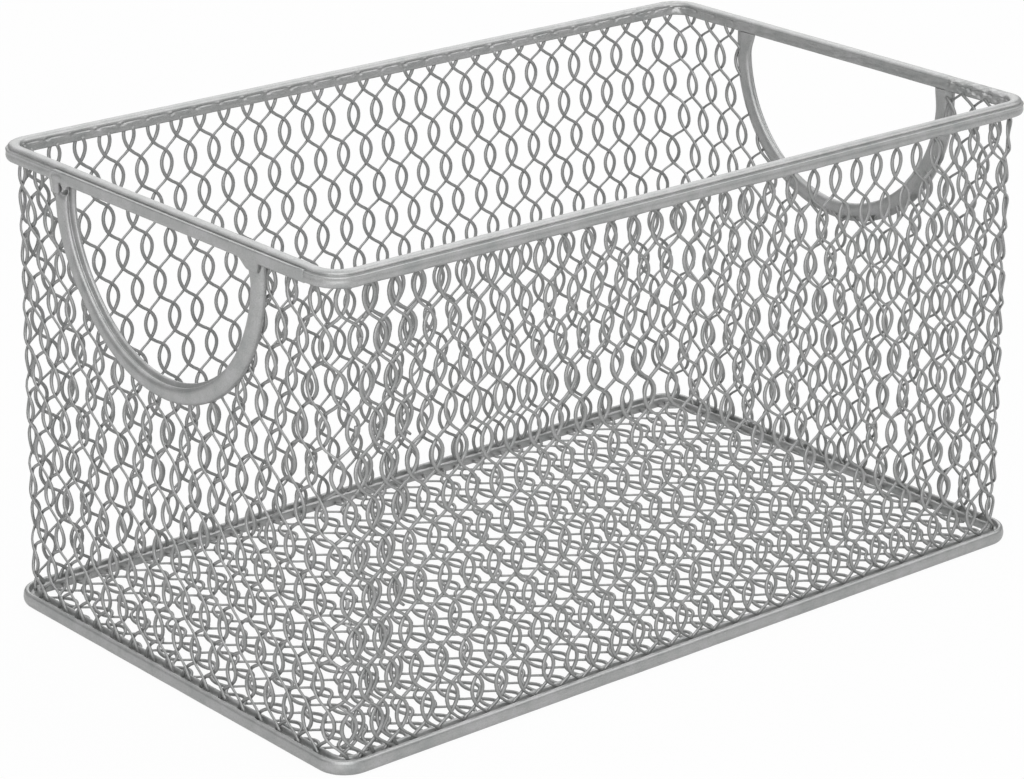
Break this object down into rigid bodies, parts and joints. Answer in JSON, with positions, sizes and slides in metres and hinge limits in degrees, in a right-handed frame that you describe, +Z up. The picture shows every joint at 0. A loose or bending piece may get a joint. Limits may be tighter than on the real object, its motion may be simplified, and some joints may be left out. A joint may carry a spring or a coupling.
{
  "type": "mesh storage box",
  "caption": "Open-topped rectangular storage box of twisted steel wire net between a rolled top rim and a rolled base rim, with a round-bottomed hand hole in each end wall.",
  "frame": {"origin": "middle of the footprint, on the surface that the base rim rests on", "axes": "+Z up, +X along the long walls from the near hand hole to the far one, +Y from the front long wall with the net's seam to the back long wall"},
  "size_m": [0.2814, 0.1688, 0.15],
  "materials": {
    "rolled_sheet": "silver-grey paint, semi-gloss",
    "net_wire": "silver-grey paint, semi-gloss"
  },
  "bodies": {
    "root": {"top_rim": "rolled_sheet", "base_rim": "rolled_sheet", "near_handle_trim": "rolled_sheet", "far_handle_trim": "rolled_sheet", "wall_net": "net_wire", "base_net": "net_wire"}
  },
  "joints": []
}
